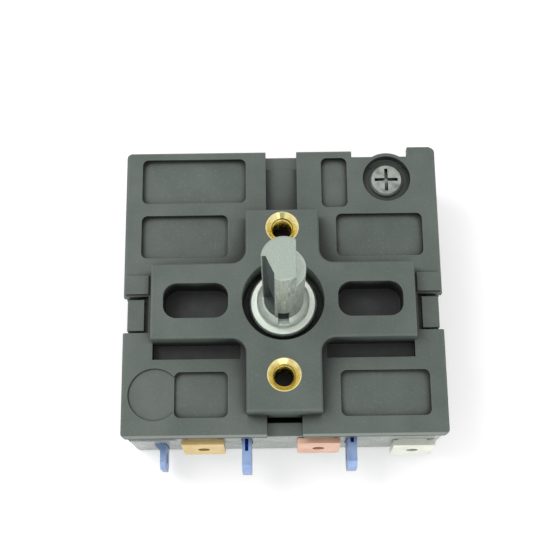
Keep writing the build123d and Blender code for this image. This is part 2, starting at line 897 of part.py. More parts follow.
# Heater: an insulating sleeve round the bimetal, wound with wire
with BuildPart() as heater_element:
    sleeve_y = bimetal_thick / 2 + heater_wall
    sleeve_z = bimetal_height / 2 + heater_wall
    pitch = (heater_span[1] - heater_span[0]) / heater_turns
    with BuildSketch(Plane.YZ.offset(heater_span[0])):
        with Locations((bimetal_y, bimetal_mid_z)):
            Rectangle(2 * sleeve_y, 2 * sleeve_z)
    extrude(amount=heater_span[1] - heater_span[0])
    for turn in range(heater_turns):
        start_x = heater_span[0] + (turn + 0.5) * pitch - heater_wire / 2
        with BuildSketch(Plane.YZ.offset(start_x)):
            with Locations((bimetal_y, bimetal_mid_z)):
                Rectangle(2 * (sleeve_y + heater_wire), 2 * (sleeve_z + heater_wire))
        extrude(amount=heater_wire)
    with BuildSketch(Plane.YZ.offset(heater_span[0])):
        with Locations((bimetal_y, bimetal_mid_z)):
            Rectangle(bimetal_thick, bimetal_height)
    extrude(amount=heater_span[1] - heater_span[0], mode=Mode.SUBTRACT)
heater_element.part.label = "heater_element"
export_step(heater_element.part, "parts/heater_element.step")


# Rivets of the bimetal, through the follower's flag
def plate_rivet(face, direction, thick):
    """A rivet with a flat head on a face and a tail on the far side of the stack."""
    start = Vector(*face)
    along = Vector(*direction)
    with BuildPart() as piece:
        add(peg(start - along * tail_thick, direction, tail_r, tail_thick))
        add(peg(start, direction, rivet_r, thick))
        add(peg(start + along * thick, direction, tail_r, tail_thick))
    return piece.part


with BuildPart() as bimetal_rivets:
    for level in flag_rivet_levels:
        stack = flag_thick + bimetal_thick
        add(plate_rivet((flag_rivet_x, flag_face_y, level), (0, 1, 0), stack))
bimetal_rivets.part.label = "bimetal_rivets"
export_step(bimetal_rivets.part, "parts/bimetal_rivets.step")


# Snap blade with a bowed tongue in its window
with BuildPart() as snap_blade:
    add(strip([(snap_left, snap_y), (snap_root, snap_y)], snap_thick, snap_z[0], snap_z[1]))
    window_x = (tongue_span[0], tongue_span[1] + tongue_gap)
    window_z = (
        bimetal_mid_z - tongue_height / 2 - tongue_gap,
        bimetal_mid_z + tongue_height / 2 + tongue_gap,
    )
    window_y = (snap_y - beyond / 2, snap_y + beyond / 2)
    add(block(window_x, window_y, window_z), mode=Mode.SUBTRACT)
    with BuildSketch(Plane.XY.offset(bimetal_mid_z - tongue_height / 2)):
        with BuildLine():
            ThreePointArc(
                (tongue_span[0] - snap_thick, snap_y),
                ((tongue_span[0] + tongue_span[1]) / 2, snap_y + tongue_bow),
                (tongue_span[1], snap_y),
            )
        trace(line_width=snap_thick)
    extrude(amount=tongue_height)
    hole_at = (snap_contact_x, snap_y - beyond / 2, bimetal_mid_z)
    add(peg(hole_at, (0, 1, 0), rivet_hole_r, beyond), mode=Mode.SUBTRACT)
snap_blade.part.label = "snap_blade"
export_step(snap_blade.part, "parts/snap_blade.step")


# Contact rivets, each with its head towards its partner
contacts = [
    (
        "moving_contact",
        (snap_contact_x, snap_face_y, bimetal_mid_z),
        (0, 1, 0),
        (contact_r, contact_head, snap_thick),
    ),
    (
        "fixed_contact",
        (snap_contact_x, fixed_face_y, bimetal_mid_z),
        (0, -1, 0),
        (contact_r, contact_head, metal),
    ),
    (
        "line_moving_contact",
        (line_blade_x + blade_thick / 2 + switch_head, switch_contact_y, line_mid_z),
        (-1, 0, 0),
        (switch_contact_r, switch_head, blade_thick),
    ),
    (
        "line_fixed_contact",
        (line_blade_x + plate_face - switch_head, switch_contact_y, line_mid_z),
        (1, 0, 0),
        (switch_contact_r, switch_head, metal),
    ),
    (
        "pilot_moving_contact",
        (pilot_blade_x - blade_thick / 2 - switch_head, switch_contact_y, sum(pilot_blade_z) / 2),
        (1, 0, 0),
        (pilot_contact_r, switch_head, blade_thick),
    ),
    (
        "pilot_fixed_contact",
        (pilot_blade_x - plate_face + switch_head, switch_contact_y, sum(pilot_blade_z) / 2),
        (-1, 0, 0),
        (pilot_contact_r, switch_head, metal),
    ),
]
for contact_name, face, direction, sizes in contacts:
    with BuildPart() as contact:
        add(contact_rivet(face, direction, *sizes))
    contact.part.label = contact_name
    export_step(contact.part, "parts/" + contact_name + ".step")


# Bracket: a slotted lug for the snap blade, a bent strip, and an ear under the adjusting screw
with BuildPart() as blade_bracket:
    path = [
        (bracket_lug[1] - metal / 2, snap_y),
        (bracket_corner[0], snap_y),
        bracket_corner,
        (bracket_leg_x, bracket_corner[1]),
        (bracket_leg_x, bracket_end),
    ]
    add(strip(path, metal, bracket_z[0], bracket_z[1]))
    lug_half = bracket_slot / 2 + metal / 2
    add(block(bracket_lug, (snap_y - lug_half, snap_y + lug_half), bracket_z))
    slot_x = (bracket_lug[0] - beyond / 2, bracket_lug[1] - metal / 4)
    slot_y = (snap_y - bracket_slot / 2, snap_y + bracket_slot / 2)
    slot_z = (bracket_z[0] - beyond / 2, bracket_z[1] + beyond / 2)
    add(block(slot_x, slot_y, slot_z), mode=Mode.SUBTRACT)
    ear_x = (screw_at[0] - ear_half, screw_at[0] + ear_half)
    add(block(ear_x, (bracket_corner[1], screw_at[1] + ear_half), ear_z))
    for rivet_y in bracket_rivets_y:
        hole_at = (bracket_leg_x - metal, rivet_y, bimetal_mid_z)
        add(peg(hole_at, (1, 0, 0), rivet_hole_r, 2 * metal), mode=Mode.SUBTRACT)
blade_bracket.part.label = "blade_bracket"
export_step(blade_bracket.part, "parts/blade_bracket.step")


# Wide terminals: brass and copper run along the floor to a contact plate, tinned to the bus strip
def contact_plate(side, tab_x, top):
    """A leg down the wall, a strip along the floor and a plate that stands up from its end."""
    near = abs(line_blade_x) - plate_face - metal
    leg_x = (tab_x, side * (near + floor_strip_width / 2))
    strip_x = sorted((side * near, side * (near + floor_strip_width)))
    plate_x = sorted((side * near, side * (near + metal)))
    plate_y = (switch_contact_y - switch_contact_r, blade_end_y)
    leg_y = (inner_leg_y - metal / 2, inner_leg_y + metal / 2)
    hole_at = (side * (near - beyond / 2), switch_contact_y, top[1])
    with BuildPart() as piece:
        add(block(sorted(leg_x), leg_y, (floor_z, high_root_z)))
        add(block(strip_x, (leg_y[0], blade_end_y), (floor_z, floor_z + metal)))
        add(block(plate_x, plate_y, (floor_z, top[0])))
        add(peg(hole_at, (side, 0, 0), rivet_hole_r, metal + beyond), mode=Mode.SUBTRACT)
    return piece.part


with BuildPart() as terminal_brass:
    add(wide_tab(brass_tab_x, high_root_z, brass_tab_x))
    line_plate_top = (line_mid_z + switch_contact_r, line_mid_z)
    add(contact_plate(-1, brass_tab_x, line_plate_top))
terminal_brass.part.label = "terminal_brass"
export_step(terminal_brass.part, "parts/terminal_brass.step")

with BuildPart() as terminal_copper:
    add(wide_tab(copper_tab_x, high_root_z, copper_tab_x))
    pilot_mid = sum(pilot_blade_z) / 2
    pilot_plate_top = (pilot_blade_high, pilot_mid)
    add(contact_plate(1, copper_tab_x, pilot_plate_top))
terminal_copper.part.label = "terminal_copper"
export_step(terminal_copper.part, "parts/terminal_copper.step")

with BuildPart() as terminal_tinned:
    add(wide_tab(tinned_tab_x, low_root_z, tinned_neck_x))
    bus = [(bus_x, inner_leg_y - metal / 2), (bus_x, bus_top)]
    add(strip(bus, metal, bus_z[0], bus_z[1]))
    for rivet_y in bracket_rivets_y:
        hole_at = (bus_x - metal, rivet_y, bimetal_mid_z)
        add(peg(hole_at, (1, 0, 0), rivet_hole_r, 2 * metal), mode=Mode.SUBTRACT)
terminal_tinned.part.label = "terminal_tinned"
export_step(terminal_tinned.part, "parts/terminal_tinned.step")


# Narrow terminals that stand on edge in the wall
def edge_tab(x, top_z, reach, thick):
    """A tab on edge through the wall, with bevelled corners outside and a stop inside."""
    tip_y = -base_down - reach
    stop_y = -cavity_down
    with BuildPart() as piece:
        with BuildSketch(Plane.YZ.offset(x - thick / 2)) as side:
            with Locations(((tip_y + stop_y) / 2, top_z - tab_width / 2)):
                Rectangle(stop_y - tip_y, tab_width)
            chamfer(side.vertices().group_by(Axis.X)[0], edge_tab_bevel)
            with Locations((-base_down - reach / 2, top_z - tab_width / 2)):
                Circle(tab_hole_r, mode=Mode.SUBTRACT)
        extrude(amount=thick)
        sides = (x - thick / 2, x + thick / 2)
        add(block(sides, (stop_y, stop_y + 2 * metal), (top_z - tab_width, top_z)))
    return piece.part


with BuildPart() as terminal_left:
    add(edge_tab(left_tab_x, left_tab_top, left_tab_reach, metal))
    shoulder_y = -base_down - seat_gap
    with BuildSketch(Plane.XY.offset(left_tab_top - metal)):
        with BuildLine():
            Polyline(
                (left_tab_x, shoulder_y),
                (left_tab_x - shoulder_width, shoulder_y),
                (left_tab_x, shoulder_y - shoulder_length),
                close=True,
            )
        make_face()
    extrude(amount=metal)
    path = [
        (left_tab_x, -cavity_down),
        (left_tab_x, fixed_plate_y),
        (snap_contact_x + contact_r, fixed_plate_y),
    ]
    add(strip(path, metal, bimetal_low, bimetal_high - plate_gap))
    hole_at = (snap_contact_x, fixed_plate_y - metal, bimetal_mid_z)
    add(peg(hole_at, (0, 1, 0), rivet_hole_r, 2 * metal), mode=Mode.SUBTRACT)
terminal_left.part.label = "terminal_left"
export_step(terminal_left.part, "parts/terminal_left.step")


# Blades of the line switch and the pilot switch, each riveted to its terminal
switches = [
    ("middle", middle_tab_x, middle_tab_reach, middle_fold_length, "line", line_blade_x, line_blade_z),
    ("right", right_tab_x, right_tab_reach, right_fold_length, "pilot", pilot_blade_x, pilot_blade_z),
]
blade_rivets = []
for tab_name, tab_x, reach, fold_length, blade_name, blade_x, blade_z in switches:
    foot_x = blade_x + blade_foot_reach
    rivet_x = (blade_x + foot_x) / 2 + foot_rivet_offset
    foot_rivet = (rivet_x, blade_foot_y + blade_thick / 2, sum(blade_z) / 2)
    stack = blade_thick + metal
    with BuildPart() as terminal:
        add(edge_tab(tab_x, high_tab_top, reach, folded_metal))
        gap_x = (tab_x - fold_gap / 2, tab_x + fold_gap / 2)
        gap_z = (high_tab_top - fold_gap_depth, high_tab_top + tiny)
        add(block(gap_x, (-base_down - fold_length, -base_down), gap_z), mode=Mode.SUBTRACT)
        far_x = foot_x if abs(tab_x - foot_x) > abs(tab_x - blade_x) else blade_x
        path = [(tab_x, -cavity_down), (tab_x, blade_plate_y), (far_x, blade_plate_y)]
        add(strip(path, metal, blade_z[0], blade_z[1]))
        add(peg(foot_rivet, (0, -1, 0), rivet_hole_r, stack), mode=Mode.SUBTRACT)
    terminal.part.label = "terminal_" + tab_name
    export_step(terminal.part, "parts/terminal_" + tab_name + ".step")

    inward = -1 if blade_x > 0 else 1
    drum_mid_z = line_mid_z if blade_x < 0 else pilot_mid_z
    nose_at_x = -inward * (lobe_r + blade_nose_gap + blade_nose_r)
    nose_z = (max(drum_mid_z - blade_nose_r, blade_z[0]), min(drum_mid_z + blade_nose_r, blade_z[1]))
    with BuildPart() as blade:
        path = [(blade_x, blade_end_y), (blade_x, blade_foot_y), (foot_x, blade_foot_y)]
        add(strip(path, blade_thick, blade_z[0], blade_z[1]))
        add(post(nose_at_x, 0, blade_nose_r, nose_z[0], nose_z[1]))
        web_x = sorted((nose_at_x, blade_x))
        add(block(web_x, (-blade_nose_r, blade_nose_r), nose_z))
        add(peg(foot_rivet, (0, -1, 0), rivet_hole_r, blade_thick), mode=Mode.SUBTRACT)
        hole_at = (blade_x - beyond / 2, switch_contact_y, sum(blade_z) / 2)
        add(peg(hole_at, (1, 0, 0), rivet_hole_r, beyond), mode=Mode.SUBTRACT)
    blade.part.label = blade_name + "_blade"
    export_step(blade.part, "parts/" + blade_name + "_blade.step")
    blade_rivets.append((foot_rivet, stack))


# Rivets that join blades, bracket and bus strip to the terminals
with BuildPart() as terminal_rivets:
    for foot_rivet, stack in blade_rivets:
        add(plate_rivet(foot_rivet, (0, -1, 0), stack))
    for rivet_y in bracket_rivets_y:
        head_at = (bracket_leg_x - metal / 2, rivet_y, bimetal_mid_z)
        add(plate_rivet(head_at, (1, 0, 0), 2 * metal))
terminal_rivets.part.label = "terminal_rivets"
export_step(terminal_rivets.part, "parts/terminal_rivets.step")


# Adjusting screw with a cross recess and a blunt tip over the bracket's ear
with BuildPart() as calibration_screw:
    head_z = -screw_head_drop
    tip_z = ear_z[1] + screw_tip_gap
    with BuildSketch(Plane.XZ):
        with BuildLine():
            Polyline(
                (0, head_z),
                (screw_head_r - edge_bevel, head_z),
                (screw_head_r, head_z - edge_bevel),
                (screw_head_r, head_z - screw_head_thick),
                (screw_r, head_z - screw_head_thick),
                (screw_r, tip_z),
                (0, tip_z),
                close=True,
            )
        make_face()
    revolve(axis=Axis.Z)
    with BuildSketch(Plane.XY.offset(head_z)):
        Rectangle(recess_length, screw_recess)
        Rectangle(screw_recess, recess_length)
    extrude(amount=-screw_recess, mode=Mode.SUBTRACT)
calibration_part = Pos(screw_at[0], screw_at[1], 0) * calibration_screw.part
calibration_part.label = "calibration_screw"
export_step(calibration_part, "parts/calibration_screw.step")
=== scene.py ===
"""Looks of an infinite switch: finishes, threads, spring, ribs, corner, floor, light, camera."""

import logging
import math
from dataclasses import dataclass, field
from enum import Enum

import bpy
import numpy as np
from mathutils import Matrix, Vector


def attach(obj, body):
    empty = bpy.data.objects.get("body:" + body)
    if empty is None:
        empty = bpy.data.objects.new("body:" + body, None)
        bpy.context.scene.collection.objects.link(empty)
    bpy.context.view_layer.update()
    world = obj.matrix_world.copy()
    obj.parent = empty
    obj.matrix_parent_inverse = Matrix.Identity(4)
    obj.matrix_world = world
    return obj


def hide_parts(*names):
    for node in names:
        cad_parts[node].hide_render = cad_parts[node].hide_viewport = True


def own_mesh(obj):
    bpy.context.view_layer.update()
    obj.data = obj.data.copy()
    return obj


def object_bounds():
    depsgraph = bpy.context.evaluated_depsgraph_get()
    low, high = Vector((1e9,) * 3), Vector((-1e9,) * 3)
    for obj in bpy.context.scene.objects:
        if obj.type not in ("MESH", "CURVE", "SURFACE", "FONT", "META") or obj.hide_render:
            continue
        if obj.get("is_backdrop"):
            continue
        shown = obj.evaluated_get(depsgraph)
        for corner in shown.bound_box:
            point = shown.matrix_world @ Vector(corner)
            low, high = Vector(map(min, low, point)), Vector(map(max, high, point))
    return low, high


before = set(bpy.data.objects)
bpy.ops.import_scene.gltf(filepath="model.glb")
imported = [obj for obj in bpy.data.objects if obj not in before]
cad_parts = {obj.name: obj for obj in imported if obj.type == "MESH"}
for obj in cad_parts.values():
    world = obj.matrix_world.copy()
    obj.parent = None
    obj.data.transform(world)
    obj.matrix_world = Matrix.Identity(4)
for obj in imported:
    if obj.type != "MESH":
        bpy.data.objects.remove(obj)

MM = 0.001
PHOTO_PIXELS = 550
WHITE = (1.0, 1.0, 1.0, 1.0)
log = logging.getLogger("switch")


def linear(hex_colour: str) -> tuple[float, float, float, float]:
    """Turns an sRGB hex colour such as "#5a5c5a" to linear red, green, blue and alpha.

    Args:
        hex_colour: Six hex digits after a hash sign.

    Returns:
        The four linear values that a shader socket takes.
    """
    parts = [int(hex_colour[i : i + 2], 16) / 255 for i in (1, 3, 5)]
    values = [p / 12.92 if p <= 0.04045 else ((p + 0.055) / 1.055) ** 2.4 for p in parts]
    return (values[0], values[1], values[2], 1.0)


class Nodes:
    """The node tree of a material or a world, with the one function that adds a node to it."""

    def __init__(self, owner: bpy.types.Material | bpy.types.World) -> None:
        """Starts from an empty tree.

        Args:
            owner: The material or world that the nodes are for.
        """
        owner.use_nodes = True
        self.tree = owner.node_tree
        self.tree.nodes.clear()

    def add(self, kind: str, inputs: dict | None = None, **settings: object) -> bpy.types.Node:
        """Adds a node, sets its settings and fills its inputs.

        Args:
            kind: The node's type, such as "ShaderNodeTexNoise".
            inputs: Socket name or number to a value, a hex colour, a node whose first output is
                linked, or one output of a node.
            settings: The node's own properties.

        Returns:
            The new node.
        """
        made = self.tree.nodes.new(kind)
        for key, value in settings.items():
            setattr(made, key, value)
        for key, value in (inputs or {}).items():
            if isinstance(value, bpy.types.Node):
                value = value.outputs[0]
            if isinstance(value, bpy.types.NodeSocket):
                self.tree.links.new(value, made.inputs[key])
            elif isinstance(value, str):
                made.inputs[key].default_value = linear(value)
            else:
                made.inputs[key].default_value = value
        return made


# In each finish below, a MapRange node takes (value, low, high, result at low, result at high),
# and a Mix node set to RGBA takes its share at input 0 and its colours at 6 and 7, and gives the
# mixed colour at output 2. A pixel of the render is about 0.16 mm, so a pattern under 0.2 mm on
# the real piece is drawn coarser than it is, as its comment says.
RANGE = ("Value", "From Min", "From Max", "To Min", "To Max")


@dataclass(frozen=True)
class Finish:
    """What every finish shares: a material of its own name that ends in a Principled shader."""

    name: str

    def inputs(self, s: Nodes, here: bpy.types.NodeSocket) -> dict:
        """The shader's inputs.

        Args:
            s: The material's nodes.
            here: The object's own coordinates, in metres.

        Returns:
            Socket name to a value, a node or an output.
        """
        raise NotImplementedError

    def build(self) -> bpy.types.Material:
        """Makes the material.

        Returns:
            The new material.
        """
        made = bpy.data.materials.new(self.name)
        s = Nodes(made)
        here = s.add("ShaderNodeTexCoord").outputs["Object"]
        shader = s.add("ShaderNodeBsdfPrincipled", self.inputs(s, here))
        s.add("ShaderNodeOutputMaterial", {"Surface": shader})
        return made


@dataclass(frozen=True)
class MouldedPhenolic(Finish):
    """Phenolic, compression moulded: dense black-grey, faintly mottled, satin, with painted highlight on
    soft edges and front.
    """

    roughness: float
    highlight_front_mm: float
    lip_shade_below_mm: float | None = None
    highlight_share: float = 0.6
    body: str = "#4f5953"
    cloud: str = "#5a635d"
    # The next two colours are painted light: a pale highlight along the front and shade on the lip's
    # front face.
    edge: str = "#778079"
    front_highlight: str = "#98a098"
    lip_shade: str = "#272c29"
    # Painted shade in recesses, and how far the occlusion looks for walls.
    recess_shade: str = "#0f1211"
    recess_shade_mm: float = 6.0
    shut_at: float = 0.52
    open_at: float = 0.75
    flow_mm: float = 7.0
    # Filler specks, really under 0.2 mm: drawn coarser, to show as a faint mottle.
    speck_mm: float = 0.35
    speck_share: float = 0.28
    # The mould's blasted grain, really near 0.05 mm: drawn coarser, to break up the sheen.
    grain_mm: float = 0.22
    grain_depth_mm: float = 0.006
    edge_radius_mm: float = 0.16
    edge_share: float = 0.55
    front_step_mm: float = 0.1
    lip_shade_step_mm: float = 0.08
    ior: float = 1.55

    def inputs(self, s: Nodes, here: bpy.types.NodeSocket) -> dict:
        """Mixes clouds and specks, paints highlight on edges and front and shade on the lip's front and
        in recesses, and adds mould grain.
        """
        flow_mm = self.flow_mm
        sizes = ((flow_mm, 3.0), (flow_mm / 3, 2.0), (self.speck_mm, 2.0), (self.grain_mm, 2.0))
        flow, sheen, speck, grain = (
            s.add("ShaderNodeTexNoise", {"Vector": here, "Scale": 1.0 / (size * MM), "Detail": detail})
            for size, detail in sizes
        )
        rounded = s.add("ShaderNodeBevel", {"Radius": self.edge_radius_mm * MM}, samples=6)
        flat = s.add("ShaderNodeNewGeometry").outputs["Normal"]
        turned = s.add("ShaderNodeVectorMath", {0: rounded, 1: flat}, operation="DOT_PRODUCT")
        place = s.add("ShaderNodeSeparateXYZ", {"Vector": here})
        # Painted shade: the colour darkens in recesses, where ambient occlusion finds walls near.
        closed = s.add(
            "ShaderNodeAmbientOcclusion", {"Distance": self.recess_shade_mm * MM}, samples=8, only_local=True
        )
        # Painted highlight: the colour turns paler in front of a plane near the front wall, on the
        # cover's lip bevel and on the base's wall band.
        front, step = self.highlight_front_mm * MM, self.front_step_mm * MM
        spans = (
            (flow, 0.35, 0.65, 0.0, 1.0),
            (speck, 0.58, 0.72, 0.0, self.speck_share),
            # Painted highlight on the rounded edges.
            (turned.outputs["Value"], 0.995, 0.86, 0.0, self.edge_share),
            (place.outputs["Y"], front, front + step, 1.0, 0.0),
            (closed.outputs["AO"], self.shut_at, self.open_at, 0.0, 1.0),
            (sheen, 0.3, 0.7, self.roughness - 0.05, self.roughness + 0.07),
        )
        clouds, specks, at_edge, beyond, lit, rough = (
            s.add("ShaderNodeMapRange", dict(zip(RANGE, span))) for span in spans
        )
        # The share of the painted highlight along the front.
        painted_on = s.add("ShaderNodeMath", {0: beyond, 1: self.highlight_share}, operation="MULTIPLY")
        layers = [(clouds, self.cloud), (specks, self.edge), (at_edge, self.edge), (painted_on, self.front_highlight)]
        if self.lip_shade_below_mm is not None:
            # Painted shade on the lip's front face, below a given level.
            level, step = self.lip_shade_below_mm * MM, self.lip_shade_step_mm * MM
            span = (place.outputs["Z"], level - step, level + step, 1.0, 0.0)
            below = s.add("ShaderNodeMapRange", dict(zip(RANGE, span)))
            lip_shaded = s.add("ShaderNodeMath", {0: beyond, 1: below}, operation="MULTIPLY")
            layers.append((lip_shaded, self.lip_shade))
        colour = self.body
        for share, tone in layers:
            mixed = s.add("ShaderNodeMix", {0: share, 6: colour, 7: tone}, data_type="RGBA")
            colour = mixed.outputs[2]
        mixed = s.add("ShaderNodeMix", {0: lit, 6: self.recess_shade, 7: colour}, data_type="RGBA")
        relief = {"Height": grain, "Distance": self.grain_depth_mm * MM, "Strength": 1.0}
        normal = s.add("ShaderNodeBump", relief | {"Normal": rounded})
        return {"Base Color": mixed.outputs[2], "Roughness": rough, "IOR": self.ior, "Normal": normal}


@dataclass(frozen=True)
class CastZinc(Finish):
    """Zinc, pressure die cast and tumbled: pale, bright, with a soft mottle and fine scratches."""

    name: str = "zinc_die_cast_tumbled"
    body: str = "#c3ccc2"
    shade: str = "#b8c1b8"
    # Painted light: shade on the cored side and the top face, and a brighter tone on the foot below the
    # flange's level.
    core_shade: str = "#5c6462"
    top_shade: str = "#a3ada4"
    foot: str = "#dfe6dd"
    foot_below_mm: float = -0.9
    cored_radius_mm: float = 2.86
    top_mm: float = 20.8
    flat_mm: float = 1.3
    step_mm: float = 0.1
    roughness: float = 0.5
    mottle_mm: float = 0.9
    # Scratches along the shaft and rings round it, really under 0.1 mm: drawn coarser, to streak it.
    streak_mm: float = 0.25
    streak_stretch: tuple[float, float, float] = (1.0, 1.0, 0.12)
    ring_mm: float = 0.42
    rings_per_scale: float = 0.314
    ring_wander: float = 0.6
    bump_mm: float = 0.012
    edge_radius_mm: float = 0.1

    def inputs(self, s: Nodes, here: bpy.types.NodeSocket) -> dict:
        """Mottles it, paints shade on the top and the cored side and light on the foot, streaks and
        rings it.
        """
        along = s.add("ShaderNodeMapping", {"Vector": here, "Scale": self.streak_stretch})
        blotch, streak = (
            s.add("ShaderNodeTexNoise", {"Vector": at, "Scale": 1.0 / (size * MM), "Detail": detail})
            for at, size, detail in ((here, self.mottle_mm, 4.0), (along, self.streak_mm, 2.0))
        )
        level = s.add("ShaderNodeSeparateXYZ", {"Vector": here}).outputs["Z"]
        top, foot, step = self.top_mm * MM, self.foot_below_mm * MM, self.step_mm * MM
        spans = (
            (blotch, 0.35, 0.65, 0.0, 1.0),
            # Painted shade on the top face.
            (level, top - step, top, 0.0, 1.0),
            # Painted light on the foot, below the flange's level.
            (level, foot - step, foot, 1.0, 0.0),
            (streak, 0.3, 0.7, self.roughness - 0.08, self.roughness + 0.12),
        )
        mottle, at_top, at_foot, rough = (
            s.add("ShaderNodeMapRange", dict(zip(RANGE, span))) for span in spans
        )
        colour = self.body
        tones = (self.shade, self.top_shade, self.foot, self.core_shade)
        # After the mottle: painted shade on the top, painted light on the foot and painted shade on the
        # cored side.
        for share, tone in zip((mottle, at_top, at_foot, self.in_core(s, here)), tones):
            mixed = s.add("ShaderNodeMix", {0: share, 6: colour, 7: tone}, data_type="RGBA")
            colour = mixed.outputs[2]
        rings = s.add(
            "ShaderNodeTexWave",
            {
                "Vector": here,
                "Scale": self.rings_per_scale / (self.ring_mm * MM),
                "Distortion": self.ring_wander,
            },
            wave_type="RINGS",
            rings_direction="Z",
        )
        normal = s.add("ShaderNodeBevel", {"Radius": self.edge_radius_mm * MM}, samples=4)
        for height, share in ((mottle, 1.0), (streak, 0.5), (rings.outputs["Fac"], 0.5)):
            relief = {"Height": height, "Distance": self.bump_mm * share * MM, "Strength": 1.0}
            normal = s.add("ShaderNodeBump", relief | {"Normal": normal})
        return {"Base Color": colour, "Metallic": 1.0, "Roughness": rough, "Normal": normal}

    def in_core(self, s: Nodes, here: bpy.types.NodeSocket) -> bpy.types.Node:
        """1 in the cored side and the hub's slot, which get painted shade, and 0 elsewhere.

        Args:
            s: The material's nodes.
            here: The object's own coordinates.

        Returns:
            The product of three soft steps: inside the shaft's round, below its top, off its flat.
        """
        across = s.add("ShaderNodeMapping", {"Vector": here, "Scale": (1.0, 1.0, 0.0)})
        radius = s.add("ShaderNodeVectorMath", {0: across}, operation="LENGTH").outputs["Value"]
        place = s.add("ShaderNodeSeparateXYZ", {"Vector": here})
        edge, top, flat = self.cored_radius_mm * MM, self.top_mm * MM, self.flat_mm * MM
        step = self.step_mm * MM
        spans = (
            (radius, edge - 0.8 * step, edge + 0.6 * step, 1.0, 0.0),
            (place.outputs["Z"], top - step, top, 1.0, 0.0),
            (place.outputs["X"], flat, flat + step, 1.0, 0.0),
        )
        inside, below, aside = (s.add("ShaderNodeMapRange", dict(zip(RANGE, span))) for span in spans)
        both = s.add("ShaderNodeMath", {0: inside, 1: below}, operation="MULTIPLY")
        return s.add("ShaderNodeMath", {0: both, 1: aside}, operation="MULTIPLY")


@dataclass(frozen=True)
class TurnedMetal(Finish):
    """A metal turned on a lathe along Z: bright, with fine rings and a little tarnish."""

    body: str
    tarnish: str
    roughness: float = 0.22
    # The lathe's feed, really near 0.08 mm: drawn coarser, to leave rings on a bevel.
    ring_mm: float = 0.18
    ring_stretch: tuple[float, float, float] = (0.05, 0.05, 1.0)
    bump_mm: float = 0.004
    blotch_mm: float = 1.2
    tarnish_share: float = 0.8
    # Painted shade in recesses such as the bores.
    recess_shade: str = "#171510"
    recess_shade_mm: float = 2.6
    shut_at: float = 0.42
    open_at: float = 0.7

    def inputs(self, s: Nodes, here: bpy.types.NodeSocket) -> dict:
        """Stacks fine rings along the turning axis, lets tarnish sit in blotches and paints shade in
        recesses.
        """
        stacked = s.add("ShaderNodeMapping", {"Vector": here, "Scale": self.ring_stretch})
        rings, stain = (
            s.add("ShaderNodeTexNoise", {"Vector": at, "Scale": 1.0 / (size * MM), "Detail": detail})
            for at, size, detail in ((stacked, self.ring_mm, 1.0), (here, self.blotch_mm, 3.0))
        )
        # Painted shade: the colour darkens in recesses, where ambient occlusion finds walls near.
        closed = s.add(
            "ShaderNodeAmbientOcclusion", {"Distance": self.recess_shade_mm * MM}, samples=8, only_local=True
        )
        span = (stain, 0.45, 0.7, 0.0, self.tarnish_share)
        blotch = s.add("ShaderNodeMapRange", dict(zip(RANGE, span)))
        spans = (
            (closed.outputs["AO"], self.shut_at, self.open_at, 0.0, 1.0),
            (blotch, 0.0, 1.0, self.roughness, self.roughness + 0.15),
        )
        lit, rough = (s.add("ShaderNodeMapRange", dict(zip(RANGE, span))) for span in spans)
        mixed = s.add("ShaderNodeMix", {0: blotch, 6: self.body, 7: self.tarnish}, data_type="RGBA")
        inputs = {0: lit, 6: self.recess_shade, 7: mixed.outputs[2]}
        colour = s.add("ShaderNodeMix", inputs, data_type="RGBA").outputs[2]
        relief = {"Height": rings, "Distance": self.bump_mm * MM, "Strength": 1.0}
        normal = s.add("ShaderNodeBump", relief)
        return {"Base Color": colour, "Metallic": 1.0, "Roughness": rough, "Normal": normal}


@dataclass(frozen=True)
class RolledStrip(Finish):
    """Sheet metal, rolled and stamped: satin, with grain along the rolling and a worn tone."""

    body: str
    tarnish: str
    roughness: float = 0.35
    grain: tuple[float, float, float] = (1.0, 1.0, 0.08)
    # Rolling lines, really near 0.03 mm: drawn coarser, to draw the sheen out along the strip.
    grain_mm: float = 0.12
    blotch_mm: float = 2.2
    bump_mm: float = 0.004
    tarnish_share: float = 0.7
    # Painted shade of a deep tint in a fold's gap, where asked.
    fold_shade: str = ""
    fold_reach_mm: float = 0.9

    def inputs(self, s: Nodes, here: bpy.types.NodeSocket) -> dict:
        """Draws rolling grain, tarnish in soft blotches and, where asked, painted shade of a deep tint
        in a fold.
        """
        along = s.add("ShaderNodeMapping", {"Vector": here, "Scale": self.grain})
        grain, stain = (
            s.add("ShaderNodeTexNoise", {"Vector": at, "Scale": 1.0 / (size * MM), "Detail": detail})
            for at, size, detail in ((along, self.grain_mm, 2.0), (here, self.blotch_mm, 4.0))
        )
        spans = (
            (stain, 0.38, 0.68, 0.0, self.tarnish_share),
            (grain, 0.3, 0.7, self.roughness - 0.06, self.roughness + 0.1),
        )
        blotch, rough = (s.add("ShaderNodeMapRange", dict(zip(RANGE, span))) for span in spans)
        mixed = s.add("ShaderNodeMix", {0: blotch, 6: self.body, 7: self.tarnish}, data_type="RGBA")
        # Painted shade: a deep tint where ambient occlusion finds the fold's walls near.
        if self.fold_shade:
            reach = {"Distance": self.fold_reach_mm * MM}
            closed = s.add("ShaderNodeAmbientOcclusion", reach, samples=8, only_local=True)
            span = (closed.outputs["AO"], 0.45, 0.85, 0.0, 1.0)
            lit = s.add("ShaderNodeMapRange", dict(zip(RANGE, span)))
            inputs = {0: lit, 6: self.fold_shade, 7: mixed.outputs[2]}
            mixed = s.add("ShaderNodeMix", inputs, data_type="RGBA")
        relief = {"Height": grain, "Distance": self.bump_mm * MM, "Strength": 1.0}
        normal = s.add("ShaderNodeBump", relief)
        return {
            "Base Color": mixed.outputs[2],
            "Metallic": 1.0,
            "Roughness": rough,
            "Normal": normal,
        }


